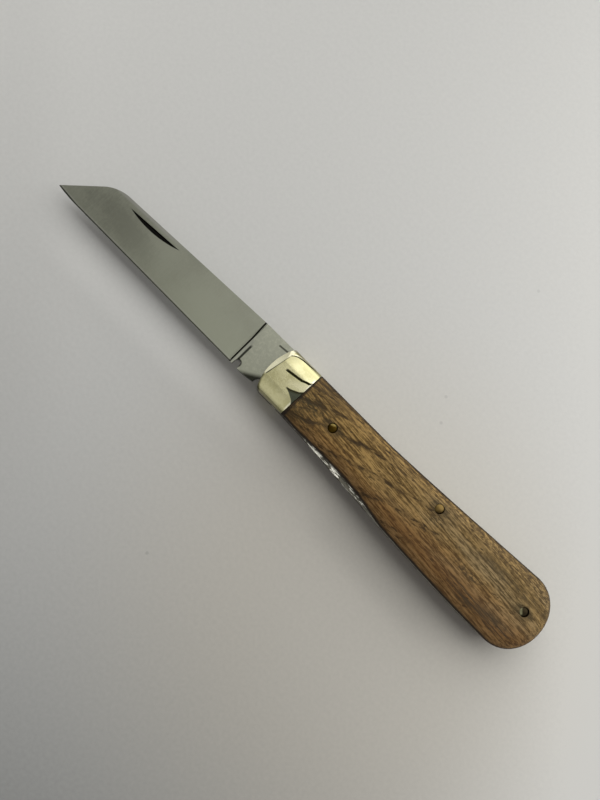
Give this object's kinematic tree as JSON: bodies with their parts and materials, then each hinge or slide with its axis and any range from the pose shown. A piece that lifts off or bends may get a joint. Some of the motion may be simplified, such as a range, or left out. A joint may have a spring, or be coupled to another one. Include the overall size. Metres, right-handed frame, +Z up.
{
  "type": "folding garden knife",
  "caption": "Folding slip-joint garden knife, open: lambfoot blade with a nail pull, polished bolsters, oak scales with domed brass pins, back spring between liners.",
  "frame": {"origin": "middle of the open knife's box, on the face that it lies on", "axes": "+X along the knife from the tip to the butt, +Y towards the back, +Z up out of the front side"},
  "size_m": [0.173, 0.0216, 0.0122],
  "materials": {
    "blade_steel": "fine satin, drawn across the blade",
    "spring_steel": "ground",
    "liner_metal": "ground bright",
    "bolster_metal": "polished, slightly yellow white metal",
    "oak": "oiled, open grained",
    "brass": "peened and buffed"
  },
  "bodies": {
    "handle": {"back_spring": "spring_steel", "front_liner": "liner_metal", "rear_liner": "liner_metal", "front_bolster": "bolster_metal", "rear_bolster": "bolster_metal", "front_scale": "oak", "rear_scale": "oak", "pivot_pin": "bolster_metal", "centre_pin": "brass", "butt_pin": "brass", "front_scale_pin": "brass", "rear_scale_pin": "brass", "front_bolster_rivets": "bolster_metal", "rear_bolster_rivets": "bolster_metal"},
    "blade": {"blade": "blade_steel"}
  },
  "joints": [
    {"name": "blade_pivot", "type": "hinge", "parent": "handle", "child": "blade", "pos_m": [-0.00645, -0.00047, 0.0061], "axis": [0, 0, 1], "range_deg": [0, 172], "deforming": ["back_spring"]}
  ]
}
